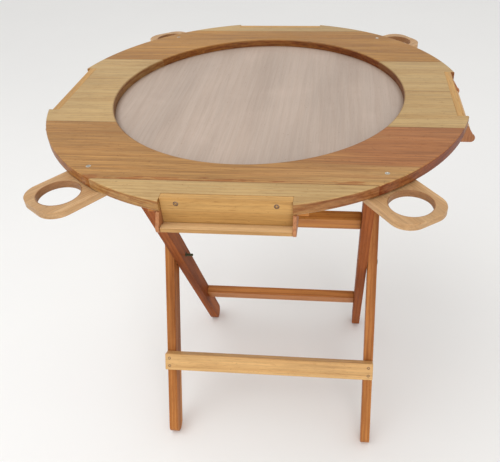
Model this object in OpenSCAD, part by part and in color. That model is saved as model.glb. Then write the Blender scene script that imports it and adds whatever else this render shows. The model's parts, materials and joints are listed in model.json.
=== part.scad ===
// Round folding games table: a recessed top with a tile rack on each side, four swing-out
// cup holders, and two crossed leg frames that fold flat beneath it.
// The origin is on the floor under the middle of the top. The front rack faces -Y and +Z is up.

/* [Tabletop] */
// Height of the playing surface's rim above the floor
table_h = 775; // [700:5:950]
// Diameter of the top
top_d = 730; // [700:5:920]
// Thickness of the rim boards
rim_t = 18; // [16:1:24]
// Diameter of the recess for the playing surface
recess_d = 510; // [420:5:520]
// Thickness of the playing panel, let into a rebate under the rim
panel_t = 4; // [3:0.5:6]
// Width of the rebate that carries the panel
panel_lap = 15; // [12:1:18]
// Gap around the panel in its rebate and in the recess
panel_gap = 0.5; // [0.3:0.1:1]
// How far the panel's middle stands above its edge in the rebate
panel_step = 0.5; // [0.3:0.1:2]
// Width of the two boards beside the middle seam
mid_board_w = 136; // [110:1:150]
// Width of the boards in front of and behind them
wide_board_w = 170; // [150:1:180]
// How far the middle seam lies behind the middle of the top
seam_shift = 3; // [0:1:6]
// Rounding of the rim's edges
rim_round = 2.5; // [1:0.5:4]

/* [Tile racks] */
// Length of each rack between its cheeks
rack_l = 180; // [140:2:200]
// Distance from the edge of the top to the flat back of its notch
notch_in = 30.5; // [28:0.5:36]
// Thickness of the backboard
rack_back_t = 12; // [10:0.5:14]
// Depth of the ledge below the top
ledge_drop = 40; // [36:1:46]
// Thickness of the ledge
ledge_t = 4; // [3:0.5:10]
// Width of the channel that the tiles stand in
tile_slot = 8.5; // [8:0.5:12]
// Width of the lip in front of the tiles
lip_w = 10; // [8:0.5:14]
// Height of the lip above the ledge
lip_h = 3; // [2:0.5:5]
// Thickness of the cheeks at the rack's ends
cheek_t = 5; // [4:0.5:8]
// How far the cheeks stand out past the lip
cheek_over = 3; // [1:0.5:5]
// How far the cheeks hang below the ledge
cheek_below = 1.5; // [0:0.5:3]
// Rounding of the cheeks' lower corners
cheek_round = 7; // [4:0.5:9]
// Thickness of the rail that ties each rack to the rim
rack_rail_t = 8; // [6:0.5:10]
// How far that rail runs past the cheeks
rack_rail_over = 15; // [10:1:18]
// Width of the rail behind the notch's flat
rack_rail_w = 36; // [30:1:40]
// How far the cheeks reach behind the notch's flat
cheek_tuck = 24; // [16:1:28]
// Distance of the backboard's screws from its ends
back_screw_in = 22; // [15:1:40]

/* [Cup holders] */
// Diameter of the hole for a can or glass
cup_bore = 62; // [58:1:72]
// Width of the holder
cup_w = 88; // [84:1:96]
// Distance from the pivot to the middle of the hole
cup_reach = 54; // [50:1:60]
// Wall between the hole and the outer end
cup_end_wall = 11; // [10:1:18]
// How far the holder runs behind its pivot
cup_tail = 20; // [16:1:24]
// Thickness of the holder
cup_t = 11; // [8:0.5:14]
// Rounding of the outer corners
cup_corner = 30; // [15:1:38]
// Distance of the pivot from the edge of the top
cup_pivot_in = 19.5; // [16:0.5:24]
// Angle between the front line and each pivot
cup_angle = 38.5; // [36:0.5:45]
// Diameter of the pivot screw
cup_screw_d = 4; // [4:0.5:8]
// Diameter of the washers on that screw
cup_washer_d = 14; // [12:1:20]
// Thickness of the washers
cup_washer_t = 1; // [0.8:0.1:1.5]
// Height of the lock nut
cup_nut_h = 4; // [3:0.5:6]

/* [Leg frames] */
// Width of the leg and rail stock, along the table's side
stock_w = 38; // [32:1:42]
// Thickness of the leg and rail stock
stock_t = 20; // [16:1:24]
// Distance between the outer faces of the outer legs
legs_w = 463; // [420:1:470]
// Height of the pivot bolts above the floor
pivot_h = 382; // [350:1:420]
// Distance under the top between the hinge line and the seat line behind it
hinge_span = 338; // [300:2:360]
// Distance from the top of the rim down to the hinge line
hinge_drop = 60; // [59:0.5:64]
// Distance of the inner frame's lower rail below the pivot, along the legs
inner_rail_at = 262; // [230:1:290]
// Distance of the outer frame's lower rail below the pivot, along the legs
outer_rail_at = 239; // [220:1:290]
// Distance of the inner frame's upper rail above the pivot, along the legs
high_rail_at = 180; // [150:1:190]
// Distance of the outer frame's top rail below the leg ends' centres
top_rail_at = 70; // [60:1:90]
// Gap between an inner and an outer leg, filled by the pivot washer
leg_gap = 1.5; // [1:0.1:3]
// Gap between one frame's rails and the other frame's legs when folded
fold_gap = 0.8; // [0.5:0.1:1.5]

/* [Cleats and bolts] */
// Thickness of the hinge cleats
cleat_t = 20; // [16:1:22]
// Gap between a hinge cleat and the leg beside it
cleat_gap = 1; // [0.5:0.1:1.5]
// Length of the hinge cleat in front of the hinge line
cleat_front = 56; // [50:1:60]
// Length of the hinge cleat behind the hinge line
cleat_rear = 30; // [24:1:40]
// Depth of the hinge cleat where it is screwed to the rim
cleat_deep = 24; // [20:1:28]
// Width of the seat blocks that the outer legs' tops rest in
seat_w = 25; // [22:1:30]
// Length of the seat block in front of and behind the leg's end
seat_reach = 37; // [34:1:42]
// Wall left in front of the leg's end by the seat block's slope
seat_nose = 4; // [3:0.5:6]
// Clearance around the leg's end in its seat
seat_gap = 0.6; // [0.4:0.1:1]
// Diameter of the pivot and hinge bolts
bolt_d = 6; // [5:0.5:8]
// Radial clearance of the turning bolts and screws
run_gap = 0.05; // [0.02:0.01:0.1]
// Diameter of the pivot bolts' domed heads
bolt_head_d = 15; // [13:1:18]
// Height of the domed heads
bolt_head_h = 2; // [1.5:0.5:4]
// Diameter of the hinge bolts' heads, sunk in the inner legs
hinge_head_d = 12; // [11:0.5:16]
// Height of the hinge bolts' heads
hinge_head_h = 4; // [3:0.5:5]
// How far sunk heads and nuts lie below the leg's face
head_sink = 0.4; // [0.3:0.1:1]
// Gap around sunk heads and nuts
head_gap = 0.6; // [0.3:0.1:1]
// Distance across the corners of the pivot and hinge nuts
nut_d = 11; // [10:0.5:15]
// Height of the nuts
nut_h = 5; // [4:0.5:7]
// Length of hinge bolt showing past its nut
bolt_end = 4; // [2:0.5:6]
// Length of the left pivot bolt, the longer one, showing past its nut
left_bolt_end = 16; // [1:0.5:20]
// Diameter of the pivot washers
pivot_washer_d = 18; // [14:1:24]
// Diameter of the wood screws
screw_d = 4; // [3:0.5:5]
// Diameter of the wood screws' heads
screw_head_d = 8; // [6:0.5:9]
// Length of wood screw in the second piece
screw_bite = 16; // [10:1:18]
// Distance between the two screws at each end of a rail
rail_screw_gap = 18; // [14:1:24]
// Distance between the two screws of a hinge cleat
cleat_screw_gap = 14; // [10:1:24]
// Distance of a cleat's or block's first screw from its end
cleat_screw_in = 8; // [6:0.5:12]

/* [Hidden] */
$fn = 72;
// Joined solids share this much, and cuts run this far past a face
over = 0.01;

top_r = top_d / 2;
recess_r = recess_d / 2;
rim_under = table_h - rim_t;
notch_r = top_r - notch_in;
front_seam = seam_shift - mid_board_w;
back_seam = seam_shift + mid_board_w;
front_edge = front_seam - wide_board_w;
back_edge = back_seam + wide_board_w;

rack_front = notch_r + rack_back_t + tile_slot + lip_w;
cheek_front = rack_front + cheek_over;
ledge_foot = ledge_drop + ledge_t;
cheek_foot = ledge_foot + cheek_below;
cheek_rear = notch_r - cheek_tuck;

cup_pivot_r = top_r - cup_pivot_in;
// Play left beside each turning piece
turn_gap = 0.3;
cup_tip = cup_reach + cup_bore / 2 + cup_end_wall;
cup_top = rim_under - cup_washer_t - turn_gap;
cup_low_washer = cup_top - cup_t - turn_gap - cup_washer_t;
cup_nut_low = cup_low_washer - cup_nut_h;
// Each cup holder's pivot angle from the front line, and its swing at rest
cup_places = [[cup_angle, -3], [-cup_angle, 2], [180 - cup_angle, -13], [180 + cup_angle, -4]];

hinge_y = hinge_span / 2;
hinge_z = table_h - hinge_drop;
lean = atan(hinge_y / (hinge_z - pivot_h));
arm = (hinge_z - pivot_h) / cos(lean);
outer_r = stock_w / 2;
inner_w = stock_w - 2 * fold_gap;
inner_r = inner_w / 2;
outer_x = legs_w / 2 - stock_t;
inner_x = outer_x - leg_gap - stock_t;
cleat_x = inner_x - cleat_gap - cleat_t;
seat_x = outer_x + stock_t / 2 - seat_w / 2;

// ---- shared shapes ----

// A square corner to take away, which leaves a quarter round of radius r in three flats
module corner_round(r) {
    difference() {
        translate([-over, -over])
            square(r + over);
        translate([r, r])
            circle(r = r, $fn = 12);
    }
}

// A rectangle whose four corners are rounded, between two opposite corners
module round_rect(low, high, r) {
    translate([low[0] + r, low[1]])
        square([high[0] - low[0] - 2 * r, high[1] - low[1]]);
    translate([low[0], low[1] + r])
        square([high[0] - low[0], high[1] - low[1] - 2 * r]);
    for (x = [low[0] + r, high[0] - r], y = [low[1] + r, high[1] - r])
        translate([x, y])
            circle(r = r);
}

// A countersunk wood screw along -Z, with its head flush at z = 0
module wood_screw(grip, bite) {
    head_h = (screw_head_d - screw_d) / 2;
    translate([0, 0, -head_h])
        cylinder(d1 = screw_d, d2 = screw_head_d, h = head_h);
    translate([0, 0, -grip - bite])
        cylinder(d = screw_d, h = grip + bite - head_h + over);
}

// A hexagonal nut on the Z axis, from z = 0 up, with a round bore
module hex_nut(across, high, bore) {
    difference() {
        cylinder(d = across, h = high, $fn = 6);
        translate([0, 0, -over])
            cylinder(d = bore, h = high + 2 * over);
    }
}

module washer(outside, bore, thick) {
    difference() {
        cylinder(d = outside, h = thick);
        translate([0, 0, -over])
            cylinder(d = bore, h = thick + 2 * over);
    }
}

module mirror_x(other) {
    mirror([other ? 1 : 0, 0, 0])
        children();
}

module both_sides() {
    for (other = [false, true])
        mirror_x(other)
            children();
}

module at_racks() {
    for (turn = [0, 90, 180, 270])
        rotate([0, 0, turn])
            children();
}

module at_cups() {
    for (place = cup_places)
        rotate([0, 0, place[0]])
            translate([0, -cup_pivot_r, 0])
                children();
}

// ---- tabletop ----

// Half section of the rim: the playing panel's rebate is at its inner lower corner
module rim_section() {
    difference() {
        translate([recess_r, rim_under])
            square([top_r - recess_r, rim_t]);
        translate([recess_r - over, rim_under - over])
            square([panel_lap + over, panel_t + over]);
        translate([recess_r, table_h])
            mirror([0, 1])
                corner_round(rim_round);
        translate([top_r, table_h])
            rotate(180)
                corner_round(rim_round);
        translate([top_r, rim_under])
            mirror([1, 0])
                corner_round(rim_round);
    }
}

module rack_notches() {
    at_racks()
        translate([-rack_l / 2, -top_r - 1, rim_under - 1])
            cube([rack_l, notch_in + 1, rim_t + 2]);
}

// Each hole is cut by a shaft and a 45 degree cone that both run past the wood's faces
module cup_screw_holes() {
    at_cups() {
        translate([0, 0, rim_under - 1])
            cylinder(d = cup_screw_d, h = rim_t + 2);
        translate([0, 0, table_h - cup_screw_d / 2 - 1])
            cylinder(d1 = cup_screw_d - 2, d2 = 2 * cup_screw_d + 2, h = cup_screw_d / 2 + 2);
    }
}

// The rim between two seams, on one side of the middle line where side is -1 or 1
module rim_board(low_y, high_y, side) {
    low_x = side > 0 ? 0 : -top_r - 1;
    high_x = side < 0 ? 0 : top_r + 1;
    difference() {
        intersection() {
            rotate_extrude($fn = 180)
                rim_section();
            translate([low_x, low_y, rim_under - 1])
                cube([high_x - low_x, high_y - low_y, rim_t + 2]);
        }
        rack_notches();
        cup_screw_holes();
    }
}

module playing_panel() {
    color("#cfa58a")
        translate([0, 0, rim_under]) {
            cylinder(r = recess_r + panel_lap - panel_gap, h = panel_t, $fn = 180);
            cylinder(r = recess_r - panel_gap, h = panel_t + panel_step, $fn = 180);
        }
}

module panel_screws() {
    bite = (rim_t - panel_t) / 2;
    color("#8c8a84")
        for (turn = [22.5:45:359])
            rotate([0, 0, turn])
                translate([recess_r + panel_lap / 2, 0, rim_under])
                    mirror([0, 0, 1])
                        wood_screw(panel_t, bite);
}

// ---- tile racks, drawn at the front and turned to each side ----

module rack_back() {
    color("#c08a4c")
        translate([-rack_l / 2, -notch_r - rack_back_t, table_h - ledge_foot])
            cube([rack_l, rack_back_t, ledge_foot]);
}

// The ledge is glued to the backboard's face, and its front edge rises in a lip
module rack_ledge() {
    ledge_rear = -notch_r - rack_back_t;
    color("#d3a05e")
        translate([-rack_l / 2, 0, table_h])
            rotate([90, 0, 90])
                linear_extrude(rack_l)
                    polygon([
                        [ledge_rear, -ledge_foot],
                        [ledge_rear, -ledge_drop],
                        [-rack_front + lip_w, -ledge_drop],
                        [-rack_front + lip_w, -ledge_drop + lip_h],
                        [-rack_front, -ledge_drop + lip_h],
                        [-rack_front, -ledge_foot]
                    ]);
}

// Outline of a cheek: it hangs from the rail and rises to the rim in front of it
module cheek_outline() {
    rail_front = -notch_r - rack_rail_t;
    translate([-cheek_front + cheek_round, -cheek_foot + cheek_round])
        circle(r = cheek_round);
    polygon([
        [-cheek_rear, -rim_t - rack_rail_t],
        [rail_front, -rim_t - rack_rail_t],
        [rail_front, -rim_t],
        [-rack_front + lip_w, -rim_t],
        [-cheek_front, -cheek_foot + cheek_round],
        [-cheek_front + cheek_round, -cheek_foot + cheek_round],
        [-cheek_front + cheek_round, -cheek_foot],
        [-notch_r, -cheek_foot],
        [-cheek_rear, -rim_t - 2 * rack_rail_t]
    ]);
}

module rack_cheeks() {
    color("#a5673a")
        both_sides()
            translate([rack_l / 2, 0, table_h])
                rotate([90, 0, 90])
                    linear_extrude(cheek_t)
                        cheek_outline();
}

// The rail lies under the rim, and its ends wrap round the backboard
module rack_rail() {
    half = rack_l / 2 + cheek_t + rack_rail_over;
    color("#9a5b33")
        translate([0, 0, rim_under - rack_rail_t])
            difference() {
                translate([-half, -notch_r - rack_rail_t, 0])
                    cube([2 * half, rack_rail_w + rack_rail_t, rack_rail_t]);
                translate([-rack_l / 2, -notch_r - rack_rail_t - 1, -1])
                    cube([rack_l, rack_rail_t + 1, rack_rail_t + 2]);
            }
}

// Two screws hold each backboard to the rim, and three hold each rail from below
module rack_screws() {
    color("#5a4632")
        at_racks() {
            for (x = [-1, 1] * (rack_l / 2 - back_screw_in))
                translate([x, -notch_r - rack_back_t, table_h - rim_t / 2])
                    rotate([90, 0, 0])
                        wood_screw(rack_back_t, screw_bite);
            for (x = [-1, 0, 1] * (rack_l / 2 + cheek_t + rack_rail_over / 2))
                translate([x, -notch_r + rack_rail_w / 2, rim_under - rack_rail_t])
                    mirror([0, 0, 1])
                        wood_screw(rack_rail_t, rim_t / 2);
        }
}

// ---- cup holders ----

// A countersunk machine screw, flush with the rim above and reaching its nut's end below
module cup_screw_body() {
    head_h = cup_screw_d / 2;
    translate([0, 0, table_h - head_h])
        cylinder(d1 = cup_screw_d, d2 = 2 * cup_screw_d, h = head_h);
    translate([0, 0, cup_nut_low])
        cylinder(d = cup_screw_d, h = table_h - cup_nut_low - head_h + over);
}

module cup_outline() {
    difference() {
        round_rect([-cup_w / 2, -cup_tip], [cup_w / 2, cup_corner], cup_corner);
        translate([-cup_w / 2 - 1, cup_tail])
            square([cup_w + 2, cup_corner + 1]);
        translate([0, -cup_reach])
            circle(d = cup_bore, $fn = 96);
        circle(d = cup_screw_d + 2 * run_gap);
    }
}

module cup_holder(place) {
    color("#c98f5a")
        rotate([0, 0, place[0]])
            translate([0, -cup_pivot_r, cup_top - cup_t])
                rotate([0, 0, place[1]])
                    linear_extrude(cup_t)
                        cup_outline();
}

module cup_pivot_screws() {
    color("#d8cdb8")
        at_cups()
            cup_screw_body();
}

module cup_washers() {
    color("#b8b4aa")
        at_cups()
            for (z = [rim_under - cup_washer_t, cup_low_washer])
                translate([0, 0, z])
                    washer(cup_washer_d, cup_screw_d, cup_washer_t);
}

module cup_nuts() {
    color("#8c8a84")
        at_cups()
            translate([0, 0, cup_nut_low])
                hex_nut(2 * cup_screw_d, cup_nut_h, cup_screw_d);
}

// ---- cleats under the top ----

// Side view of a hinge cleat, about the hinge line
module cleat_outline() {
    top = rim_under - hinge_z;
    circle(r = outer_r);
    translate([-cleat_front, top - cleat_deep])
        square([cleat_front + cleat_rear, cleat_deep]);
    translate([-outer_r, 0])
        square([2 * outer_r, top]);
}

module hinge_cleat() {
    color("#9a5b33")
        translate([cleat_x, -hinge_y, hinge_z])
            rotate([90, 0, 90])
                difference() {
                    linear_extrude(cleat_t)
                        cleat_outline();
                    translate([0, 0, -over])
                        cylinder(d = bolt_d, h = cleat_t + 2 * over);
                }
}

// Side view of a seat block, about the centre of the leg's end at rest
module seat_outline() {
    top = rim_under - hinge_z;
    difference() {
        polygon([
            [-seat_reach, top],
            [seat_reach, top],
            [seat_reach, -outer_r / 2],
            [0, -outer_r / 2],
            [-outer_r - seat_nose, outer_r - seat_nose],
            [-seat_reach, outer_r + seat_nose / 2]
        ]);
        circle(r = outer_r + seat_gap);
    }
}

module seat_block() {
    color("#9a5b33")
        translate([seat_x, hinge_y, hinge_z])
            rotate([90, 0, 90])
                linear_extrude(seat_w)
                    seat_outline();
}

module cleat_screws() {
    cleat_low = rim_under - cleat_deep;
    color("#5a4632")
        both_sides() {
            for (y = [cleat_screw_in, cleat_screw_in + cleat_screw_gap])
                translate([cleat_x + cleat_t / 2, -hinge_y - cleat_front + y, cleat_low])
                    mirror([0, 0, 1])
                        wood_screw(cleat_deep, rim_t / 2);
            translate([seat_x + seat_w / 2, hinge_y + seat_reach - cleat_screw_in, hinge_z - outer_r / 2])
                mirror([0, 0, 1])
                    wood_screw(rim_under - hinge_z + outer_r / 2, rim_t / 2);
        }
}

// A hinge bolt runs from a sunk head in the leg's outer face through the cleat to its nut
module hinge_bolts() {
    head_face = inner_x + stock_t - head_sink;
    color("#6f6f6a")
        both_sides()
            translate([0, -hinge_y, hinge_z])
                rotate([0, 90, 0]) {
                    translate([0, 0, head_face - hinge_head_h])
                        cylinder(d = hinge_head_d, h = hinge_head_h);
                    translate([0, 0, cleat_x - nut_h - bolt_end])
                        cylinder(d = bolt_d, h = head_face - cleat_x + nut_h + bolt_end - over);
                }
}

module hinge_nuts() {
    color("#6f6f6a")
        both_sides()
            translate([cleat_x - nut_h, -hinge_y, hinge_z])
                rotate([0, 90, 0])
                    hex_nut(nut_d, nut_h, bolt_d);
}

// ---- leg frames, drawn upright about the pivot and leaned into place ----

module outer_frame() {
    translate([0, 0, pivot_h])
        rotate([-lean, 0, 0])
            children();
}

module inner_frame() {
    translate([0, 0, pivot_h])
        rotate([lean, 0, 0])
            children();
}

// A leg with round ends, its inner face at x = 0; low is its foot's centre below the pivot
module leg_bar(r, low) {
    rotate([90, 0, 90])
        linear_extrude(stock_t) {
            translate([-r, -low])
                square([2 * r, low + arm]);
            for (z = [-low, arm])
                translate([0, z])
                    circle(r = r);
        }
}

module leg_bore(d, z) {
    translate([-over, 0, z])
        rotate([0, 90, 0])
            cylinder(d = d, h = stock_t + 2 * over);
}

// The pivot nut is sunk in its inner face, and the hinge bolt's head in its outer face
module inner_leg() {
    sunk_h = hinge_head_h + head_sink + turn_gap;
    color("#8a4a26")
        inner_frame()
            translate([inner_x, 0, 0])
                difference() {
                    leg_bar(inner_r, (pivot_h - inner_r) / cos(lean));
                    leg_bore(bolt_d + 2 * run_gap, 0);
                    leg_bore(bolt_d + 2 * run_gap, arm);
                    translate([stock_t - sunk_h, 0, arm])
                        rotate([0, 90, 0])
                            cylinder(d = hinge_head_d + 2 * head_gap, h = sunk_h + over);
                    translate([-over, 0, 0])
                        rotate([0, 90, 0])
                            cylinder(d = nut_d + 2 * head_gap, h = nut_h + head_sink + turn_gap + over);
                }
}

module outer_leg() {
    color("#c08048")
        outer_frame()
            translate([outer_x, 0, 0])
                difference() {
                    leg_bar(outer_r, (pivot_h - outer_r) / cos(lean));
                    leg_bore(bolt_d, 0);
                }
}

// The inner frame's rails stand between its legs, flush with their rear faces
module inner_rail(z) {
    color("#a4623a")
        inner_frame()
            translate([-inner_x, inner_r - stock_t, z - stock_w / 2])
                cube([2 * inner_x, stock_t, stock_w]);
}

// The outer frame's rails are screwed onto its legs, in front below and behind above
module outer_rail(z, face) {
    color("#cf9a5c")
        outer_frame()
            translate([-legs_w / 2, face < 0 ? -outer_r - stock_t : outer_r, z - stock_w / 2])
                cube([legs_w, stock_t, stock_w]);
}

module inner_rail_screws() {
    color("#5a4632")
        inner_frame()
            both_sides()
                for (z = [-inner_rail_at, high_rail_at], step = [-1, 1] * rail_screw_gap / 2)
                    translate([inner_x + stock_t, inner_r - stock_t / 2, z + step])
                        rotate([0, 90, 0])
                            wood_screw(stock_t, screw_bite);
}

module outer_rail_screws() {
    color("#3c3430")
        outer_frame()
            both_sides()
                for (step = [-1, 1] * rail_screw_gap / 2) {
                    translate([outer_x + stock_t / 2, -outer_r - stock_t, step - outer_rail_at])
                        rotate([90, 0, 0])
                            wood_screw(stock_t, screw_bite);
                    translate([outer_x + stock_t / 2, outer_r + stock_t, arm - top_rail_at + step])
                        rotate([-90, 0, 0])
                            wood_screw(stock_t, screw_bite);
                }
}

// The pivot bolts pass through both legs, with the head outside and the nut sunk inside
module pivot_bolts() {
    color("#6a6a58")
        for (other = [false, true])
            mirror_x(other)
                pivot_bolt(other ? left_bolt_end : 0);
}

module pivot_bolt(past_nut) {
    bolt_low = inner_x + head_sink - past_nut;
    translate([0, 0, pivot_h])
        rotate([0, 90, 0]) {
            translate([0, 0, legs_w / 2])
                bolt_dome();
            translate([0, 0, bolt_low])
                cylinder(d = bolt_d, h = legs_w / 2 - bolt_low);
        }
}

// A domed head, cut from a ball
module bolt_dome() {
    ball = (pow(bolt_head_d / 2, 2) + pow(bolt_head_h, 2)) / (2 * bolt_head_h);
    intersection() {
        translate([0, 0, bolt_head_h - ball])
            sphere(r = ball);
        cylinder(d = bolt_head_d, h = bolt_head_h + 1);
    }
}

module pivot_washers() {
    color("#9a9a90")
        both_sides()
            translate([outer_x - leg_gap + turn_gap, 0, pivot_h])
                rotate([0, 90, 0])
                    washer(pivot_washer_d, bolt_d, leg_gap - turn_gap);
}

module pivot_nuts() {
    color("#4f4f3c")
        both_sides()
            translate([inner_x + head_sink, 0, pivot_h])
                rotate([0, 90, 0])
                    hex_nut(nut_d, nut_h, bolt_d);
}

// ---- what is drawn ----

color("#cf9a55") rim_board(-top_r - 1, front_edge, 0);  // front_edge_board
color("#b97f41") rim_board(front_edge, front_seam, 0);  // front_board
color("#c8a06a") rim_board(front_seam, seam_shift, -1);  // left_front_board
color("#bd9560") rim_board(front_seam, seam_shift, 1);  // right_front_board
color("#c49a60") rim_board(seam_shift, back_seam, -1);  // left_back_board
color("#c09a66") rim_board(seam_shift, back_seam, 1);  // right_back_board
color("#b9853f") rim_board(back_seam, back_edge, 0);  // back_board
color("#cc9c5c") rim_board(back_edge, top_r + 1, 0);  // back_edge_board
playing_panel();
rack_back();  // front_rack_back
rotate([0, 0, 90]) rack_back();  // right_rack_back
rotate([0, 0, 180]) rack_back();  // back_rack_back
rotate([0, 0, 270]) rack_back();  // left_rack_back
rack_ledge();  // front_rack_ledge
rotate([0, 0, 90]) rack_ledge();  // right_rack_ledge
rotate([0, 0, 180]) rack_ledge();  // back_rack_ledge
rotate([0, 0, 270]) rack_ledge();  // left_rack_ledge
rack_cheeks();  // front_rack_cheeks
rotate([0, 0, 90]) rack_cheeks();  // right_rack_cheeks
rotate([0, 0, 180]) rack_cheeks();  // back_rack_cheeks
rotate([0, 0, 270]) rack_cheeks();  // left_rack_cheeks
rack_rail();  // front_rack_rail
rotate([0, 0, 90]) rack_rail();  // right_rack_rail
rotate([0, 0, 180]) rack_rail();  // back_rack_rail
rotate([0, 0, 270]) rack_rail();  // left_rack_rail
rack_screws();
panel_screws();
hinge_cleat();  // right_hinge_cleat
mirror_x(true) hinge_cleat();  // left_hinge_cleat
seat_block();  // right_seat_block
mirror_x(true) seat_block();  // left_seat_block
cleat_screws();
hinge_bolts();
hinge_nuts();
inner_leg();  // inner_right_leg
mirror_x(true) inner_leg();  // inner_left_leg
inner_rail(-inner_rail_at);  // inner_low_rail
inner_rail(high_rail_at);  // inner_high_rail
inner_rail_screws();
outer_leg();  // outer_right_leg
mirror_x(true) outer_leg();  // outer_left_leg
outer_rail(-outer_rail_at, -1);  // outer_low_rail
outer_rail(arm - top_rail_at, 1);  // outer_top_rail
outer_rail_screws();
pivot_bolts();
pivot_washers();
pivot_nuts();
cup_holder(cup_places[0]);  // cup_holder_front_right
cup_holder(cup_places[1]);  // cup_holder_front_left
cup_holder(cup_places[2]);  // cup_holder_back_right
cup_holder(cup_places[3]);  // cup_holder_back_left
cup_pivot_screws();
cup_washers();
cup_nuts();
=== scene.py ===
import json
import math
import random

import bmesh
import bpy
from mathutils import Matrix, Vector


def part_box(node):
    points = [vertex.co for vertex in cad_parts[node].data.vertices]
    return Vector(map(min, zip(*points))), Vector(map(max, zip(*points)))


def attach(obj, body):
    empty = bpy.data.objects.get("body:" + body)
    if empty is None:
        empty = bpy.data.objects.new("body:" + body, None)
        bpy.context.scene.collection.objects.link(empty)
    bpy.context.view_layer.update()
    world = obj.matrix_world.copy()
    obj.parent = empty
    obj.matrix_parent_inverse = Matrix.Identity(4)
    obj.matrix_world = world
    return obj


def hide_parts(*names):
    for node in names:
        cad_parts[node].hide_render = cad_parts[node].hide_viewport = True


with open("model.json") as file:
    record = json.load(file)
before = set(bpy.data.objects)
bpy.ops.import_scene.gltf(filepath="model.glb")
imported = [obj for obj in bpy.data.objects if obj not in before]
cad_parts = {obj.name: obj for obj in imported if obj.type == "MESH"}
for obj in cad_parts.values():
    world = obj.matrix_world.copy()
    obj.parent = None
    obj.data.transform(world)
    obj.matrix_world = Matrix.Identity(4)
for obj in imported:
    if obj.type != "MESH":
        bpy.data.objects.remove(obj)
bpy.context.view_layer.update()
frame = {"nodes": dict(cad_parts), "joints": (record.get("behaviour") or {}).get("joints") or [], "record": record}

# ---- sizes read from the frame ----

nodes = frame["nodes"]
record = frame["record"]
joints = {joint["name"]: joint for joint in frame["joints"]}

hinge_line = Vector(joints["leg_fold"]["pos_m"])
pivot_line = Vector(joints["leg_scissor"]["pos_m"])
rise = hinge_line - pivot_line
LEG_UP_INNER = Vector((0, rise.y, rise.z)).normalized()
LEG_UP_OUTER = Vector((0, -rise.y, rise.z)).normalized()
PANEL_IN_REBATE = 0.0145
RECESS_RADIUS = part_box("playing_panel")[1].x - PANEL_IN_REBATE
FRONT_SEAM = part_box("front_board")[0].y

ALONG_X, ALONG_Y, ALONG_Z = Vector((1, 0, 0)), Vector((0, 1, 0)), Vector((0, 0, 1))

# ---- small helpers for shader trees ----


def add_node(tree, kind, settings=None, **inputs):
    """A node with its settings made and its inputs filled: a socket is linked, anything else is a value."""
    node = tree.nodes.new(kind)
    for name, value in (settings or {}).items():
        setattr(node, name, value)
    for name, value in inputs.items():
        plug(tree, value, node.inputs[name.replace("_", " ")])
    return node


def plug(tree, value, socket):
    if isinstance(value, bpy.types.NodeSocket):
        tree.links.new(value, socket)
    elif hasattr(value, "__len__") and len(value) == 3 and socket.type == "RGBA":
        socket.default_value = (*value, 1)
    else:
        socket.default_value = value


def calc(tree, operation, *values, clamp=False):
    """A Math node; values may be sockets or numbers."""
    node = add_node(tree, "ShaderNodeMath", {"operation": operation, "use_clamp": clamp})
    for i, value in enumerate(values):
        plug(tree, value, node.inputs[i])
    return node.outputs[0]


def vector_calc(tree, operation, *values, answer=0):
    node = add_node(tree, "ShaderNodeVectorMath", {"operation": operation})
    for i, value in enumerate(values):
        plug(tree, value, node.inputs["Scale"] if operation == "SCALE" and i == 1 else node.inputs[i])
    return node.outputs[answer]


def ramp(tree, value, low, high, to_low=0.0, to_high=1.0):
    """A smooth step from low to high."""
    node = add_node(
        tree, "ShaderNodeMapRange", {"interpolation_type": "SMOOTHSTEP"},
        Value=value, From_Min=low, From_Max=high, To_Min=to_low, To_Max=to_high,
    )
    return node.outputs["Result"]


def noise(tree, position, detail=2.0, roughness=0.5, colour=False):
    node = add_node(
        tree, "ShaderNodeTexNoise", Vector=position, Scale=1.0, Detail=detail, Roughness=roughness,
    )
    return node.outputs["Color" if colour else "Fac"]


def stretched(tree, position, scale):
    return vector_calc(tree, "MULTIPLY", position, scale)


def blend_colour(tree, share, first, second, mode="MIX"):
    node = add_node(tree, "ShaderNodeMix", {"data_type": "RGBA", "blend_type": mode})
    plug(tree, share, node.inputs["Factor"])
    plug(tree, first, node.inputs[6])
    plug(tree, second, node.inputs[7])
    return node.outputs[2]


def tinted(tree, share, colour, tint):
    """The colour multiplied by a tint, where share says."""
    return blend_colour(tree, share, colour, blend_colour(tree, 1.0, colour, tint, "MULTIPLY"))


def part_of(tree, vector, axis=2):
    """One part of a vector, its Z unless told otherwise."""
    return add_node(tree, "ShaderNodeSeparateXYZ", Vector=vector).outputs[axis]


def grey(tree, value):
    return add_node(tree, "ShaderNodeCombineColor", Red=value, Green=value, Blue=value).outputs[0]


def new_group(name, inputs, outputs):
    """A shader node group. inputs are (name, kind, default) and outputs (name, kind)."""
    tree = bpy.data.node_groups.new(name, "ShaderNodeTree")
    for label, kind, default in inputs:
        socket = tree.interface.new_socket(label, in_out="INPUT", socket_type="NodeSocket" + kind)
        if default is not None:
            socket.default_value = (*default, 1) if kind == "Color" else default
    for label, kind in outputs:
        tree.interface.new_socket(label, in_out="OUTPUT", socket_type="NodeSocket" + kind)
    entry = tree.nodes.new("NodeGroupInput")
    leave = tree.nodes.new("NodeGroupOutput")
    return tree, entry.outputs, leave.inputs


def use_group(tree, group, **inputs):
    node = tree.nodes.new("ShaderNodeGroup")
    node.node_tree = group
    for name, value in inputs.items():
        plug(tree, value, node.inputs[name.replace("_", " ")])
    return node.outputs


# ---- shared effects ----


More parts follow.
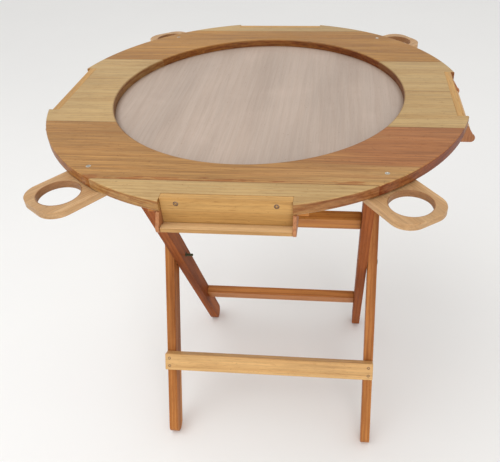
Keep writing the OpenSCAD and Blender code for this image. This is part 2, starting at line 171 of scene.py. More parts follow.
def make_timber_group():
    """Growth rings, fibres, pores and darker streaks, in a space whose X runs along the grain."""
    tree, given, out = new_group(
        "sawn timber",
        [("Position", "Vector", None), ("Early Wood", "Color", (0.5, 0.3, 0.15)),
         ("Late Wood", "Color", (0.4, 0.2, 0.1)), ("Streak", "Color", (0.3, 0.15, 0.07)),
         ("Ring Width", "Float", 0.006), ("Wander", "Float", 0.02),
         ("Rings", "Float", 0.6), ("Streaks", "Float", 0.5), ("Fibre", "Float", 0.5),
         ("Pores", "Float", 0.7)],
        [("Color", "Color"), ("Roughness", "Float"), ("Height", "Float")],
    )
    position = given["Position"]
    slow = noise(tree, stretched(tree, position, (1.3, 10, 10)), detail=3, colour=True)
    drift = vector_calc(tree, "SUBTRACT", slow, (0.5, 0.5, 0.5))
    bent = vector_calc(tree, "ADD", position, vector_calc(tree, "SCALE", drift, given["Wander"]))
    from_pith = vector_calc(tree, "LENGTH", stretched(tree, bent, (0, 1, 1)), answer=1)
    ring = calc(tree, "FRACT", calc(tree, "DIVIDE", from_pith, given["Ring Width"]))
    late = calc(tree, "MULTIPLY", ramp(tree, ring, 0.3, 0.9), ramp(tree, ring, 0.92, 1.0, 1.0, 0.0))

    fibre = noise(tree, stretched(tree, position, (9, 360, 360)), detail=3, roughness=0.65)
    fine = noise(tree, stretched(tree, position, (60, 1500, 1500)), detail=1)
    pores = ramp(tree, fine, 0.60, 0.72)
    broad = noise(tree, stretched(tree, bent, (1.8, 26, 26)), detail=3, roughness=0.6)
    streak = calc(tree, "MULTIPLY", ramp(tree, broad, 0.45, 0.68), given["Streaks"], clamp=True)
    cloud = ramp(tree, noise(tree, stretched(tree, position, (3, 9, 9)), detail=2), 0.3, 0.7, 0.92, 1.07)

    ring_share = calc(tree, "MULTIPLY", late, given["Rings"])
    colour = blend_colour(tree, ring_share, given["Early Wood"], given["Late Wood"])
    colour = blend_colour(tree, streak, colour, given["Streak"])
    shade = ramp(tree, fibre, 0.3, 0.7, 0.74, 1.17)
    colour = tinted(tree, given["Fibre"], colour, grey(tree, shade))
    colour = blend_colour(tree, 1.0, colour, grey(tree, cloud), "MULTIPLY")
    colour = tinted(tree, calc(tree, "MULTIPLY", pores, given["Pores"]), colour, (0.62, 0.52, 0.45))
    plug(tree, colour, out["Color"])
    rough_fibre = calc(tree, "MULTIPLY", fibre, 0.22)
    rough_pores = calc(tree, "MULTIPLY", pores, 0.12)
    plug(tree, calc(tree, "ADD", rough_fibre, rough_pores), out["Roughness"])
    grain = calc(tree, "ADD", calc(tree, "MULTIPLY", fibre, 0.5), calc(tree, "MULTIPLY", late, 0.25))
    plug(tree, calc(tree, "SUBTRACT", grain, calc(tree, "MULTIPLY", pores, 0.4)), out["Height"])
    return tree


def make_handling_group():
    """Marks of use: rubbed patches, short scuffs and specks, the same for every finish."""
    tree, given, out = new_group(
        "marks of use",
        [("Position", "Vector", None), ("Amount", "Float", 0.5)],
        [("Rub", "Float"), ("Scuff", "Float"), ("Speck", "Float")],
    )
    position = given["Position"]
    patch = noise(tree, stretched(tree, position, (14, 14, 14)), detail=4, roughness=0.6)
    plug(tree, calc(tree, "MULTIPLY", ramp(tree, patch, 0.5, 0.75), given["Amount"]), out["Rub"])
    crossing = noise(tree, stretched(tree, position, (300, 22, 90)), detail=1)
    thin = ramp(tree, crossing, 0.73, 0.78)
    some = ramp(tree, noise(tree, stretched(tree, position, (6, 6, 6)), detail=1), 0.5, 0.6)
    plug(tree, calc(tree, "MULTIPLY", calc(tree, "MULTIPLY", thin, some), given["Amount"]), out["Scuff"])
    dots = noise(tree, stretched(tree, position, (260, 260, 260)), detail=0)
    plug(tree, calc(tree, "MULTIPLY", ramp(tree, dots, 0.78, 0.84), given["Amount"]), out["Speck"])
    return tree


def make_rim_group():
    """Places on the round top: glue lines at two seams, a ragged stain behind the near one, painted shade in
    the corner at the recess, and the sawn outer edge."""
    tree, given, out = new_group(
        "round top",
        [("Position", "Vector", None), ("Facing", "Vector", None),
         ("Near Seam", "Float", 0.0), ("Far Seam", "Float", 0.0)],
        [("Glue Line", "Float"), ("Seam Stain", "Float"), ("Inner Edge", "Float"),
         ("Side", "Float"), ("Saw Marks", "Float")],
    )
    position = given["Position"]
    split = add_node(tree, "ShaderNodeSeparateXYZ", Vector=position).outputs
    near = calc(tree, "ABSOLUTE", calc(tree, "SUBTRACT", split[1], given["Near Seam"]))
    far = calc(tree, "ABSOLUTE", calc(tree, "SUBTRACT", split[1], given["Far Seam"]))
    line = calc(tree, "MINIMUM", near, far)
    upright = calc(tree, "ABSOLUTE", part_of(tree, given["Facing"]))
    side_on = ramp(tree, upright, 0.3, 0.7, 1.0, 0.0)
    glue = calc(tree, "SUBTRACT", ramp(tree, line, 0.0002, 0.0011, 1.0, 0.0), side_on, clamp=True)
    plug(tree, glue, out["Glue Line"])
    ragged = noise(tree, stretched(tree, position, (22, 130, 130)), detail=3, roughness=0.6)
    spread = calc(tree, "MULTIPLY", calc(tree, "SUBTRACT", ragged, 0.48), 0.05)
    stain_reach = calc(tree, "SUBTRACT", near, spread)
    plug(tree, ramp(tree, stain_reach, 0.0, 0.004, 1.0, 0.0), out["Seam Stain"])
    radius = vector_calc(tree, "LENGTH", stretched(tree, position, (1, 1, 0)), answer=1)
    # painted shade: darkest on the recess wall, fading out over 3 mm of the rim's top
    corner = ramp(tree, radius, RECESS_RADIUS + 0.0006, RECESS_RADIUS + 0.003, 1.0, 0.0)
    plug(tree, corner, out["Inner Edge"])
    angle = calc(tree, "ARCTAN2", split[1], split[0])
    around = add_node(
        tree, "ShaderNodeCombineXYZ",
        X=calc(tree, "MULTIPLY", angle, 9), Y=calc(tree, "MULTIPLY", split[2], 260),
    ).outputs[0]
    plug(tree, side_on, out["Side"])
    plug(tree, calc(tree, "MULTIPLY", noise(tree, around, detail=2), side_on), out["Saw Marks"])
    return tree


def make_metal_group():
    """Tarnish, fine turning marks and grime on plated steel."""
    tree, given, out = new_group(
        "worn metal",
        [("Position", "Vector", None), ("Metal", "Color", (0.6, 0.6, 0.58)),
         ("Tarnish", "Color", (0.3, 0.28, 0.22)), ("Age", "Float", 0.5)],
        [("Color", "Color"), ("Roughness", "Float"), ("Height", "Float")],
    )
    position = given["Position"]
    patch = noise(tree, stretched(tree, position, (420, 420, 420)), detail=4, roughness=0.65)
    fine = noise(tree, stretched(tree, position, (2200, 2200, 900)), detail=2)
    aged = calc(tree, "MULTIPLY", ramp(tree, patch, 0.35, 0.7), given["Age"], clamp=True)
    plug(tree, blend_colour(tree, aged, given["Metal"], given["Tarnish"]), out["Color"])
    rough_age = calc(tree, "MULTIPLY", aged, 0.3)
    rough_fine = calc(tree, "MULTIPLY", fine, 0.25)
    plug(tree, calc(tree, "ADD", rough_age, rough_fine), out["Roughness"])
    plug(tree, calc(tree, "ADD", fine, calc(tree, "MULTIPLY", patch, 0.6)), out["Height"])
    return tree


TIMBER = make_timber_group()
HANDLING = make_handling_group()
ROUND_TOP = make_rim_group()
WORN_METAL = make_metal_group()

# ---- finishes ----


def blank_material(name):
    material = bpy.data.materials.new(name)
    material.use_nodes = True
    tree = material.node_tree
    shader = tree.nodes["Principled BSDF"]
    place = add_node(tree, "ShaderNodeTexCoord").outputs
    return material, tree, shader, place


def grain_space(tree, position, along, across, pith):
    """Turns a point into the timber's own space: X along the grain, pith at the middle of YZ."""
    across = Vector(across).normalized()
    along = Vector(along).normalized()
    from_pith = vector_calc(tree, "SUBTRACT", position, pith)
    parts = [
        vector_calc(tree, "DOT_PRODUCT", from_pith, tuple(axis), answer=1)
        for axis in (along, across, along.cross(across))
    ]
    return add_node(tree, "ShaderNodeCombineXYZ", X=parts[0], Y=parts[1], Z=parts[2]).outputs[0]


def timber(name, along, across, pith, early, late, streak, ring=0.006, wander=0.02, rings=0.6, streaks=0.5,
           fibre=0.6, gloss=0.42, seams=None, redden=None, worn=0.35, coat=0.06, shine=0.22, bleach=None,
           bore=None, pale_front=None, seam_stain=0.0):
    """Varnished timber. redden is (x where it starts, x where it is full, colour) for a board that changes
    along its length, and pale_front is (y where it ends, y where it starts to fade) for sapwood along that
    board's front right part. bleach tints the faces that look up paler, a painted highlight, and
    bore is (middle, radius) of a hole whose wall is darkened with painted shade."""
    material, tree, shader, place = blank_material(name)
    position = grain_space(tree, place["Object"], along, across, pith)
    wood = use_group(
        tree, TIMBER, Position=position, Early_Wood=early, Late_Wood=late, Streak=streak,
        Ring_Width=ring, Wander=wander, Rings=rings, Streaks=streaks, Fibre=fibre,
    )
    marks = use_group(tree, HANDLING, Position=place["Object"], Amount=worn)
    colour = wood["Color"]
    if redden:
        colour = two_toned(tree, place["Object"], position, colour, redden, pale_front)
    height = wood["Height"]
    # painted highlight: faces that look up are tinted paler and bluer, as if lit from above
    if bleach:
        upward = part_of(tree, place["Normal"])
        colour = tinted(tree, ramp(tree, upward, 0.5, 0.9), colour, bleach)
    # painted shade darkens the wall of the hole
    if bore:
        colour = bore_painted_shade(tree, place["Object"], colour, bore)
    if seams:
        rim = use_group(
            tree, ROUND_TOP, Position=place["Object"], Facing=place["Normal"],
            Near_Seam=seams[0], Far_Seam=seams[1],
        )
        colour = rim_marks(tree, place["Object"], colour, rim, seam_stain)
        height = calc(tree, "ADD", height, calc(tree, "MULTIPLY", rim["Saw Marks"], 1.5))
    colour = handled(tree, colour, marks)
    rubbed = calc(tree, "MULTIPLY", marks["Rub"], 0.15)
    rough = calc(tree, "ADD", calc(tree, "ADD", wood["Roughness"], gloss - 0.08), rubbed)
    plug(tree, colour, shader.inputs["Base Color"])
    plug(tree, rough, shader.inputs["Roughness"])
    bump = add_node(tree, "ShaderNodeBump", Strength=0.35, Distance=0.0004, Height=height)
    plug(tree, bump.outputs[0], shader.inputs["Normal"])
    shader.inputs["Coat Weight"].default_value = coat
    shader.inputs["Coat Roughness"].default_value = 0.28
    shader.inputs["Specular IOR Level"].default_value = shine
    return material


def two_toned(tree, place, position, colour, redden, pale_front):
    """Wood that turns redder along the board, with a paler strip of sapwood along its front."""
    start, full, red = redden
    split = add_node(tree, "ShaderNodeSeparateXYZ", Vector=place).outputs
    sway = calc(tree, "SUBTRACT", noise(tree, stretched(tree, position, (3, 30, 30)), detail=3), 0.5)
    edge = calc(tree, "ADD", split[0], calc(tree, "MULTIPLY", sway, 0.5))
    share = ramp(tree, edge, start, full)
    reddened = tinted(tree, share, colour, red)
    if not pale_front:
        return reddened
    seam, fade = pale_front
    drift = calc(tree, "ADD", split[1], calc(tree, "MULTIPLY", sway, 0.10))
    sapwood = calc(tree, "MULTIPLY", ramp(tree, drift, seam, fade, 1.0, 0.0), share)
    pale_wood = blend_colour(tree, 1.0, colour, (1.12, 1.32, 1.60), "MULTIPLY")
    return blend_colour(tree, calc(tree, "MULTIPLY", sapwood, 0.85), reddened, pale_wood)


def bore_painted_shade(tree, place, colour, bore):
    """A darker wall inside a round hole: painted shade on the bore's wall."""
    middle, radius = bore
    flat = stretched(tree, vector_calc(tree, "SUBTRACT", place, middle), (1, 1, 0))
    reach = vector_calc(tree, "LENGTH", flat, answer=1)
    inside = ramp(tree, reach, radius + 0.0004, radius + 0.0022, 1.0, 0.0)
    # painted shade: the colour darkens on and just beside the hole's wall
    return tinted(tree, calc(tree, "MULTIPLY", inside, 0.8), colour, (0.52, 0.36, 0.26))


def rim_marks(tree, place, colour, rim, seam_stain):
    """Glue lines, the stain beside a seam, painted shade at the recess, and the sawn edge, redder to the right."""
    # one dark tone for the real glue lines and for the painted shade at the recess
    glue_and_shade_tone = blend_colour(tree, 1.0, colour, (0.34, 0.22, 0.14), "MULTIPLY")
    colour = blend_colour(tree, calc(tree, "MULTIPLY", rim["Glue Line"], 0.75), colour, glue_and_shade_tone)
    colour = tinted(tree, calc(tree, "MULTIPLY", rim["Seam Stain"], seam_stain), colour, (0.74, 0.50, 0.36))
    # painted shade darkens the recess wall and the rim edge beside it
    colour = blend_colour(tree, calc(tree, "MULTIPLY", rim["Inner Edge"], 0.5), colour, glue_and_shade_tone)
    rightward = part_of(tree, place, axis=0)
    side_tint = blend_colour(tree, ramp(tree, rightward, 0.0, 0.2), (0.86, 0.70, 0.54), (0.62, 0.38, 0.28))
    colour = tinted(tree, rim["Side"], colour, side_tint)
    return tinted(tree, ramp(tree, rim["Saw Marks"], 0.42, 0.62), colour, (0.72, 0.55, 0.42))


def handled(tree, colour, marks):
    """Rubbed patches and scuffs paler, specks darker."""
    pale = blend_colour(tree, 1.0, colour, (1.22, 1.24, 1.28), "MULTIPLY")
    colour = blend_colour(tree, calc(tree, "MULTIPLY", marks["Rub"], 0.5), colour, pale)
    colour = blend_colour(tree, calc(tree, "MULTIPLY", marks["Scuff"], 0.6), colour, pale)
    return tinted(tree, marks["Speck"], colour, (0.45, 0.38, 0.32))


def plywood_panel(name):
    """The playing panel: sanded plywood veneer with a faint front to back figure."""
    material, tree, shader, place = blank_material(name)
    position = grain_space(tree, place["Object"], ALONG_Y, ALONG_X, (0.31, 0.0, 0.55))
    wood = use_group(
        tree, TIMBER, Position=position, Early_Wood=(0.425, 0.335, 0.275), Late_Wood=(0.38, 0.285, 0.225),
        Streak=(0.35, 0.258, 0.200), Ring_Width=0.011, Wander=0.06, Rings=0.3, Streaks=0.3, Fibre=0.25,
        Pores=0.12,
    )
    marks = use_group(tree, HANDLING, Position=place["Object"], Amount=0.5)
    pale = blend_colour(tree, 1.0, wood["Color"], (1.12, 1.12, 1.14), "MULTIPLY")
    colour = blend_colour(tree, marks["Rub"], wood["Color"], pale)
    radius = vector_calc(tree, "LENGTH", stretched(tree, place["Object"], (1, 1, 0)), answer=1)
    # one darker tone for the painted shade along the recess wall and for the real specks
    shade_and_speck_tone = blend_colour(tree, 1.0, colour, (0.66, 0.58, 0.50), "MULTIPLY")
    # painted shade: the panel darkens towards the recess wall over its last 10 mm
    near_wall = ramp(tree, radius, RECESS_RADIUS - 0.010, RECESS_RADIUS, 0.0, 0.8)
    colour = blend_colour(tree, near_wall, colour, shade_and_speck_tone)
    colour = blend_colour(tree, marks["Speck"], colour, shade_and_speck_tone)
    plug(tree, colour, shader.inputs["Base Color"])
    plug(tree, calc(tree, "ADD", wood["Roughness"], 0.38), shader.inputs["Roughness"])
    bump = add_node(tree, "ShaderNodeBump", Strength=0.2, Distance=0.0002, Height=wood["Height"])
    plug(tree, bump.outputs[0], shader.inputs["Normal"])
    return material


def steel(name, metal, tarnish, age, base_rough, metallic=1.0):
    material, tree, shader, place = blank_material(name)
    worn = use_group(tree, WORN_METAL, Position=place["Object"], Metal=metal, Tarnish=tarnish, Age=age)
    plug(tree, worn["Color"], shader.inputs["Base Color"])
    plug(tree, calc(tree, "ADD", worn["Roughness"], base_rough), shader.inputs["Roughness"])
    bump = add_node(tree, "ShaderNodeBump", Strength=0.3, Distance=0.00008, Height=worn["Height"])
    plug(tree, bump.outputs[0], shader.inputs["Normal"])
    shader.inputs["Metallic"].default_value = metallic
    return material


# Timber tones, as early wood, late wood and streak
HONEY = ((0.40, 0.205, 0.063), (0.32, 0.148, 0.040), (0.25, 0.105, 0.027))
GOLD = ((0.41, 0.205, 0.052), (0.31, 0.140, 0.032), (0.25, 0.100, 0.022))
STRAW = ((0.46, 0.308, 0.134), (0.40, 0.245, 0.094), (0.33, 0.185, 0.064))
BACKBOARD = ((0.51, 0.290, 0.095), (0.41, 0.210, 0.060), (0.33, 0.155, 0.042))
LEDGE = ((0.50, 0.285, 0.105), (0.42, 0.220, 0.074), (0.34, 0.165, 0.052))
AMBER = ((0.50, 0.200, 0.042), (0.39, 0.138, 0.027), (0.28, 0.090, 0.017))
CHEEK = ((0.40, 0.170, 0.070), (0.31, 0.115, 0.045), (0.23, 0.078, 0.030))
RUSSET = ((0.33, 0.098, 0.028), (0.24, 0.062, 0.017), (0.16, 0.038, 0.011))
ROSE = ((0.56, 0.350, 0.175), (0.47, 0.270, 0.120), (0.38, 0.200, 0.082))
LEG_GOLD = ((0.50, 0.200, 0.056), (0.38, 0.132, 0.034), (0.25, 0.078, 0.020))
RAIL_PALE = ((0.66, 0.400, 0.165), (0.56, 0.300, 0.105), (0.46, 0.225, 0.070))


FINISH = {}


def give_finish(node, called, along, across, pith, tones, **more):
    """A wood finish of its own for one node."""
    FINISH[node] = timber(called + " finish", along, across, pith, *tones, **more)


def rim_board(node, pith, tones, **more):
    """A rim board's finish; the boards run left to right, and each was cut from another plank."""
    low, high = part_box(node)
    give_finish(node, node.replace("_", " "), ALONG_X, ALONG_Y, pith, tones, seams=(low.y, high.y), **more)


rim_board("front_edge_board", (0.0, -0.52, 0.70), STRAW, ring=0.007, streaks=0.5, rings=0.6)
rim_board(
    "front_board", (0.1, -0.20, 0.68), HONEY, ring=0.009, streaks=0.5, rings=0.5, wander=0.035, fibre=1.0,
    redden=(-0.05, 0.22, (0.86, 0.68, 0.76)), pale_front=(FRONT_SEAM + 0.018, FRONT_SEAM + 0.068),
    seam_stain=0.8,
)
rim_board("left_front_board", (0.0, -0.10, 0.60), STRAW, ring=0.008, streaks=0.35, rings=0.5)
rim_board("right_front_board", (0.6, -0.06, 0.58), STRAW, ring=0.010, streaks=0.45, rings=0.5)
rim_board("left_back_board", (0.3, 0.05, 0.62), STRAW, ring=0.006, streaks=0.45, rings=0.55)
rim_board("right_back_board", (0.9, 0.09, 0.60), STRAW, ring=0.008, streaks=0.4, rings=0.5)
rim_board("back_board", (0.4, 0.24, 0.69), GOLD, ring=0.008, streaks=0.45, rings=0.5, wander=0.03, fibre=0.9)
rim_board("back_edge_board", (0.2, 0.50, 0.69), STRAW, ring=0.007, streaks=0.4, rings=0.5)
FINISH["playing_panel"] = plywood_panel("playing panel veneer")


def rack_finishes(side, along, across, shift):
    """The four pieces of one rack; shift takes each from another place in its plank."""
    give_finish(side + "_rack_back", side + " backboard", along, across, (shift, shift, 0.60), BACKBOARD,
                ring=0.009, streaks=0.3, rings=0.5)
    # the ledge's upward faces get a painted highlight
    give_finish(side + "_rack_ledge", side + " ledge", along, across, (0.2 + shift, shift, 0.66), LEDGE,
                ring=0.008, streaks=0.3, rings=0.5, bleach=(1.35, 1.55, 2.1))
    give_finish(side + "_rack_cheeks", side + " cheek", ALONG_Z, across, (shift, -0.20, 0.2), CHEEK,
                ring=0.005, streaks=0.6)
    give_finish(side + "_rack_rail", side + " rack rail", along, across, (shift, shift, 0.70), AMBER,
                ring=0.006, streaks=0.8)


rack_finishes("front", ALONG_X, ALONG_Y, 0.0)
rack_finishes("back", ALONG_X, ALONG_Y, 0.21)
rack_finishes("left", ALONG_Y, ALONG_X, 0.43)
rack_finishes("right", ALONG_Y, ALONG_X, 0.67)
for node in ("right_hinge_cleat", "left_hinge_cleat", "right_seat_block", "left_seat_block"):
    give_finish(node, node.replace("_", " "), ALONG_Y, ALONG_X, (0.1, 0.3, 0.66), RUSSET, streaks=0.6)
give_finish("inner_right_leg", "inner leg", LEG_UP_INNER, ALONG_X, (0.02, 0.03, 0.4), RUSSET,
            ring=0.007, streaks=0.8, rings=0.7, coat=0.0, shine=0.05, gloss=0.5)
FINISH["inner_left_leg"] = FINISH["inner_right_leg"]
give_finish("outer_right_leg", "outer leg", LEG_UP_OUTER, ALONG_X, (0.05, -0.04, 0.4), LEG_GOLD,
            ring=0.007, streaks=0.9, rings=0.8, coat=0.0, shine=0.10)
FINISH["outer_left_leg"] = FINISH["outer_right_leg"]
give_finish("outer_low_rail", "outer low rail", ALONG_X, LEG_UP_OUTER, (0.4, -0.15, 0.20), RAIL_PALE,
            ring=0.012, streaks=0.35, rings=0.5)
give_finish("outer_top_rail", "outer top rail", ALONG_X, LEG_UP_OUTER, (0.8, 0.10, 0.70), GOLD,
            ring=0.008, streaks=0.6)
give_finish("inner_low_rail", "inner low rail", ALONG_X, LEG_UP_INNER, (0.1, 0.08, 0.18), LEG_GOLD,
            ring=0.009, streaks=0.9, rings=0.9, wander=0.03)
give_finish("inner_high_rail", "inner high rail", ALONG_X, LEG_UP_INNER, (0.5, -0.05, 0.58), AMBER,
            ring=0.010, streaks=0.7, rings=0.8)


def cup_holder_finish(mount):
    """Grain runs from the table's middle out through the hole, whose wall gets painted shade."""
    corner = mount["name"][: -len("_cup_hole")]
    out = Vector((mount["pos_m"][0], mount["pos_m"][1], 0))
    give_finish("cup_holder_" + corner, corner.replace("_", " ") + " cup holder", out, ALONG_Z,
                (out.x * 2, out.y * 2, 0.60), ROSE, ring=0.009, streaks=0.45, rings=0.6,
                bore=(tuple(mount["pos_m"]), mount["dims"]["r_mm"] / 1000))


for mount in record["mounts"]:
    if mount["name"].endswith("_cup_hole"):
        cup_holder_finish(mount)

ZINC = steel("zinc plate", (0.62, 0.60, 0.55), (0.36, 0.33, 0.27), 0.6, 0.22)
DARK_STEEL = steel(
    "browned screw steel", (0.26, 0.165, 0.105), (0.12, 0.07, 0.042), 0.8, 0.38, metallic=0.6,
)
OLD_BOLT = steel("weathered bolt steel", (0.11, 0.12, 0.07), (0.05, 0.052, 0.03), 0.8, 0.36)
for node in ("hinge_nuts", "cup_washers", "cup_nuts", "pivot_washers"):
    FINISH[node] = ZINC
FINISH["pivot_nuts"] = OLD_BOLT

# ---- easing the edges of the sawn pieces ----

WELD = 0.00001
EDGE_ANGLE = math.radians(38)


def ease(node, width, segments=3):
    """Rounds the arrises of a CAD piece and gives it its finish; its own vertices stay as they are."""
    piece = nodes[node]
    piece.data.materials.clear()
    piece.data.materials.append(FINISH[node])
    for polygon in piece.data.polygons:
        polygon.use_smooth = True
        polygon.material_index = 0
    weld = piece.modifiers.new("join corners", "WELD")
    weld.merge_threshold = WELD
    flat = piece.modifiers.new("clear flats", "DECIMATE")
    flat.decimate_type = "DISSOLVE"
    flat.angle_limit = math.radians(0.5)
    bevel = piece.modifiers.new("eased arris", "BEVEL")
    bevel.width = width
    bevel.segments = segments
    bevel.limit_method = "ANGLE"
    bevel.angle_limit = EDGE_ANGLE
    bevel.miter_outer = "MITER_ARC"
    normals = piece.modifiers.new("even shading", "WEIGHTED_NORMAL")
    normals.keep_sharp = False
    normals.weight = 80
    return piece


ARRIS = {
    "board": 0.0004, "rack": 0.0010, "rail": 0.0018, "leg": 0.0028, "cup": 0.0030,
    "nut": 0.0005, "washer": 0.0002,
}


def arris_of(node):
    if node.startswith("cup_holder"):
        return ARRIS["cup"]
    if node.endswith("_leg"):
        return ARRIS["leg"]
    if node.startswith(("inner_", "outer_")) or "cleat" in node or "seat" in node:
        return ARRIS["rail"]
    if "nuts" in node:
        return ARRIS["nut"]
    if "washers" in node:
        return ARRIS["washer"]
    return ARRIS["rack"] if "rack" in node else ARRIS["board"]


for node in FINISH:
    ease(node, arris_of(node))

# ---- screws and bolts ----


def node_parts(node):
    """The separate solids of a CAD node, each as a list of its points."""
    mesh = nodes[node].data
    keys = {}
    home = [keys.setdefault(tuple(round(c, 5) for c in v.co), len(keys)) for v in mesh.vertices]
    parent = list(range(len(keys)))

    def root(i):
        while parent[i] != i:
            parent[i] = parent[parent[i]]
            i = parent[i]
        return i

    for edge in mesh.edges:
        parent[root(home[edge.vertices[0]])] = root(home[edge.vertices[1]])
    points = {}
    for key, i in keys.items():
        points.setdefault(root(i), []).append(Vector(key))
    return [points[i] for i in sorted(points)]


def screw_line(points):
    """A turned part: (middle of its wide end, direction out of it, length, widest radius, shaft radius)."""
    middle = sum(points, Vector()) / len(points)
    far = max(points, key=lambda p: (p - middle).length)
    other = max(points, key=lambda p: (p - far).length)
    axis = (far - other).normalized()
    for _ in range(8):
        ends = [sum(group, Vector()) / len(group) for group in end_groups(points, axis)]
        axis = (ends[1] - ends[0]).normalized()
    groups = end_groups(points, axis)
    ends = [sum(group, Vector()) / len(group) for group in groups]
    radii = [max((p - end).length for p in group) for group, end in zip(groups, ends)]
    wide = 0 if radii[0] > radii[1] else 1
    top, foot = ends[wide], ends[1 - wide]
    return top, (top - foot).normalized(), (top - foot).length, max(radii), min(radii)


def end_groups(points, axis):
    along = [p.dot(axis) for p in points]
    low, high = min(along), max(along)
    near = (high - low) * 0.04
    first = [p for p, a in zip(points, along) if a < low + near]
    last = [p for p, a in zip(points, along) if a > high - near]
    return first, last


def facing_matrix(origin, axis, turn=0.0):
    """A frame at origin whose Z is axis, turned about it."""
    turned = axis.to_track_quat("Z", "Y").to_matrix().to_4x4()
    return Matrix.Translation(origin) @ turned @ Matrix.Rotation(turn, 4, "Z")


def cross_depth(x, y, radius):
    """How deep a cross recess is at a point of the head, from 0 to 1."""
    arm, slot = radius * 0.62, radius * 0.15
    ax, ay = abs(x), abs(y)
    reach, off = (ax, ay) if ax > ay else (ay, ax)
    across = 1 - smooth_step(slot * 0.7, slot * 1.3, off)
    return across * (1 - smooth_step(arm * 0.85, arm, reach))


def smooth_step(low, high, value):
    t = min(1.0, max(0.0, (value - low) / (high - low)))
    return t * t * (3 - 2 * t)


def add_turned(bm, matrix, profile, steps=40):
    """A closed turned shape from (radius, height) rings, whose ends close on the axis."""
    rings = []
    for radius, z in profile:
        ring = [bm.verts.new(matrix @ Vector((radius * math.cos(a), radius * math.sin(a), z)))
                for a in (2 * math.pi * i / steps for i in range(steps))]
        rings.append(ring)
    for low, high in zip(rings, rings[1:]):
        for i in range(steps):
            bm.faces.new((low[i], low[(i + 1) % steps], high[(i + 1) % steps], high[i]))
    for ring, z, outward in ((rings[0], profile[0][1], False), (rings[-1], profile[-1][1], True)):
        tip = bm.verts.new(matrix @ Vector((0, 0, z)))
        for i in range(steps):
            pair = (ring[i], ring[(i + 1) % steps])
            bm.faces.new((*pair, tip) if outward else (pair[1], pair[0], tip))


def add_crosshead(bm, matrix, radius, shaft, length, raised, depth, steps=48, rows=14):
    """A countersunk screw with an oval head and a cross recess; z = 0 is the wood's face."""
    grid = []
    for row in range(1, rows + 1):
        r = radius * row / rows
        ring = []
        for i in range(steps):
            a = 2 * math.pi * i / steps
            x, y = r * math.cos(a), r * math.sin(a)
            crown = raised * (1 - (r / radius) ** 4)
            ring.append(bm.verts.new(matrix @ Vector((x, y, crown - depth * cross_depth(x, y, radius)))))
        grid.append(ring)
    centre = bm.verts.new(matrix @ Vector((0, 0, raised - depth)))
    for i in range(steps):
        bm.faces.new((centre, grid[0][i], grid[0][(i + 1) % steps]))
    for inner, outer in zip(grid, grid[1:]):
        for i in range(steps):
            bm.faces.new((inner[i], outer[i], outer[(i + 1) % steps], inner[(i + 1) % steps]))
    below = [(radius, -0.0003), (shaft, -(radius - shaft)), (shaft, -length * 0.85), (shaft * 0.3, -length)]
    last = grid[-1]
    for r, z in below:
        ring = [bm.verts.new(matrix @ Vector((r * math.cos(a), r * math.sin(a), z)))
                for a in (2 * math.pi * i / steps for i in range(steps))]
        for i in range(steps):
            bm.faces.new((last[i], ring[i], ring[(i + 1) % steps], last[(i + 1) % steps]))
        last = ring
    bm.faces.new(last)


def add_thread(bm, matrix, radius, start, end, pitch=0.00125, cut=0.0005, steps=32):
    """A threaded shaft from start to end along Z, with a chamfered tip at the end nearest zero."""
    rows = max(4, int((end - start) / pitch * 6))
    rings = []
    for row in range(rows + 1):
        z = start + (end - start) * row / rows
        ring = []
        for i in range(steps):
            turn = i / steps
            ridge = abs(((z / pitch - turn) % 1.0) * 2 - 1)
            r = radius - cut * ridge
            if row == 0:
                r = radius - cut * 1.6
            a = 2 * math.pi * turn
            ring.append(bm.verts.new(matrix @ Vector((r * math.cos(a), r * math.sin(a), z))))
        rings.append(ring)
    for low, high in zip(rings, rings[1:]):
        for i in range(steps):
            bm.faces.new((low[i], low[(i + 1) % steps], high[(i + 1) % steps], high[i]))
    bm.faces.new(list(reversed(rings[0])))
    bm.faces.new(rings[-1])


def finish_piece(bm, name, body, material, stands_for):
    bmesh.ops.recalc_face_normals(bm, faces=bm.faces)
    mesh = bpy.data.meshes.new(name)
    bm.to_mesh(mesh)
    bm.free()
    for polygon in mesh.polygons:
        polygon.use_smooth = True
    mesh.materials.append(material)
    piece = bpy.data.objects.new(name, mesh)
    bpy.context.scene.collection.objects.link(piece)
    mesh.set_sharp_from_angle(angle=math.radians(35))
    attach(piece, body)
    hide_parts(stands_for)
    return piece


def wood_screws(node, body, material, seed):
    """Cross-headed screws in the places of a CAD node's plain ones."""
    turn = random.Random(seed)
    bm = bmesh.new()
    for points in node_parts(node):
        top, out, length, head, shaft = screw_line(points)
        matrix = facing_matrix(top, out, turn.uniform(0, math.pi))
        add_crosshead(bm, matrix, head, shaft, length, raised=0.0009, depth=0.0008)
    return finish_piece(bm, node + "_crossheads", body, material, node)


wood_screws("rack_screws", "tabletop", DARK_STEEL, 3)
wood_screws("panel_screws", "tabletop", ZINC, 5)
wood_screws("cleat_screws", "tabletop", DARK_STEEL, 7)
wood_screws("inner_rail_screws", "inner_frame", DARK_STEEL, 11)
wood_screws("outer_rail_screws", "outer_frame", DARK_STEEL, 13)


def cup_screws():
    """Machine screws flush with the rim, with a cross recess above and a thread through the nut below."""
    turn = random.Random(17)
    bm = bmesh.new()
    for points in node_parts("cup_pivot_screws"):
        top, out, length, head, shaft = screw_line(points)
        matrix = facing_matrix(top, out, turn.uniform(0, math.pi))
        add_crosshead(bm, matrix, head, shaft, length * 0.6, raised=0.0002, depth=0.0014)
        add_thread(bm, matrix, shaft, -length, -length * 0.6 + 0.001, pitch=0.001, cut=0.0003)
    return finish_piece(bm, "cup_pivot_screws_crossheads", "tabletop", ZINC, "cup_pivot_screws")


cup_screws()


THREAD_LENGTH = 0.016
HEAD_RIM = 0.0004
DOME_STEPS = 8


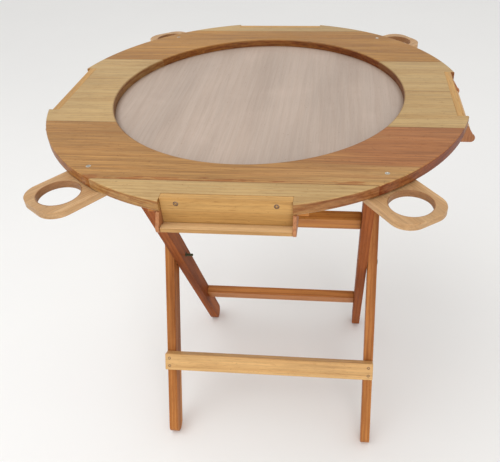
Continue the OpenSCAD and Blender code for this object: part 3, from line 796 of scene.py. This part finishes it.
def domed_bolts(node, body, material, head_h, crown):
    """Bolts with a domed (crown 1) or flat (crown 0) head and a real thread on their other end."""
    bm = bmesh.new()
    for points in node_parts(node):
        out = ALONG_X if sum(p.x for p in points) > 0 else -ALONG_X
        low, high = min(p.dot(out) for p in points), max(p.dot(out) for p in points)
        middle_y = (min(p.y for p in points) + max(p.y for p in points)) / 2
        middle_z = (min(p.z for p in points) + max(p.z for p in points)) / 2
        head = (max(p.y for p in points) - min(p.y for p in points)) / 2
        tip = [p for p in points if p.dot(out) < low + 0.0005]
        shaft = max(math.hypot(p.y - middle_y, p.z - middle_z) for p in tip)
        matrix = facing_matrix(Vector((0, middle_y, middle_z)) + out * low, out)
        reach = high - low
        threaded = min(THREAD_LENGTH, reach * 0.45)
        add_thread(bm, matrix, shaft, 0.0, threaded, pitch=0.001, cut=0.0004)
        seat = reach - head_h
        profile = [(shaft, threaded - 0.0005), (shaft, seat), (head * 0.98, seat + 0.0001)]
        for i in range(DOME_STEPS + 1):
            t = i / DOME_STEPS * math.pi / 2
            share = crown * math.sin(t) + (1 - crown) * min(1.0, i / 1.5)
            height = seat + HEAD_RIM + (head_h - HEAD_RIM) * share
            profile.append((max(0.0002, head * math.cos(t)), height))
        add_turned(bm, matrix, profile)
    return finish_piece(bm, node + "_turned", body, material, node)


PIVOT_HEAD_H = 0.002
HINGE_HEAD_H = 0.004
domed_bolts("pivot_bolts", "outer_frame", OLD_BOLT, PIVOT_HEAD_H, crown=1.0)
domed_bolts("hinge_bolts", "tabletop", ZINC, HINGE_HEAD_H, crown=0.4)

# ---- floor, light and camera ----


def pale_floor():
    bm = bmesh.new()
    bmesh.ops.create_grid(bm, x_segments=2, y_segments=2, size=14)
    mesh = bpy.data.meshes.new("floor")
    bm.to_mesh(mesh)
    bm.free()
    floor = bpy.data.objects.new("floor", mesh)
    bpy.context.scene.collection.objects.link(floor)
    floor.location.z = -0.0005
    material, tree, shader, place = blank_material("pale floor")
    cloud = noise(tree, stretched(tree, place["Object"], (1.5, 1.5, 1.5)), detail=3)
    plug(tree, blend_colour(tree, cloud, (0.86, 0.86, 0.86), (0.90, 0.90, 0.89)), shader.inputs["Base Color"])
    shader.inputs["Roughness"].default_value = 0.75
    mesh.materials.append(material)


def soft_light(name, where, size, power, aim=(0, 0, 0.55), tint=(1, 1, 1)):
    data = bpy.data.lights.new(name, "AREA")
    data.shape = "DISK"
    data.size = size
    data.energy = power
    data.color = tint
    lamp = bpy.data.objects.new(name, data)
    bpy.context.scene.collection.objects.link(lamp)
    lamp.location = where
    lamp.rotation_mode = "QUATERNION"
    lamp.rotation_quaternion = (Vector(where) - Vector(aim)).to_track_quat("Z", "Y")


def room_light(strength):
    world = bpy.data.worlds.new("plain room")
    world.use_nodes = True
    background = world.node_tree.nodes["Background"]
    background.inputs["Color"].default_value = (1.0, 0.99, 0.975, 1)
    background.inputs["Strength"].default_value = strength
    bpy.context.scene.world = world


def viewer():
    """The camera, by its place, heading, dip and tilt."""
    heading, dip, tilt = -0.104, 0.656, -0.031
    ahead = Vector((math.sin(heading) * math.cos(dip), math.cos(heading) * math.cos(dip), -math.sin(dip)))
    level = Vector((math.cos(heading), -math.sin(heading), 0))
    upright = level.cross(ahead)
    right = level * math.cos(tilt) + upright * math.sin(tilt)
    up = upright * math.cos(tilt) - level * math.sin(tilt)
    data = bpy.data.cameras.new("viewer")
    data.sensor_width = 36
    data.lens = 41.79
    data.shift_x = -0.089
    data.clip_start, data.clip_end = 0.02, 60
    camera = bpy.data.objects.new("viewer", data)
    bpy.context.scene.collection.objects.link(camera)
    place = Matrix((right, up, -ahead)).transposed().to_4x4()
    place.translation = Vector((0.1553, -0.9663, 1.2063))
    camera.matrix_world = place
    bpy.context.scene.camera = camera


pale_floor()
room_light(0.80)
soft_light("overhead softbox", (-0.9, -0.6, 2.9), 2.4, 26)
soft_light("front fill", (0.9, -3.0, 1.5), 2.0, 34)
viewer()
bpy.context.scene.view_settings.view_transform = "Standard"
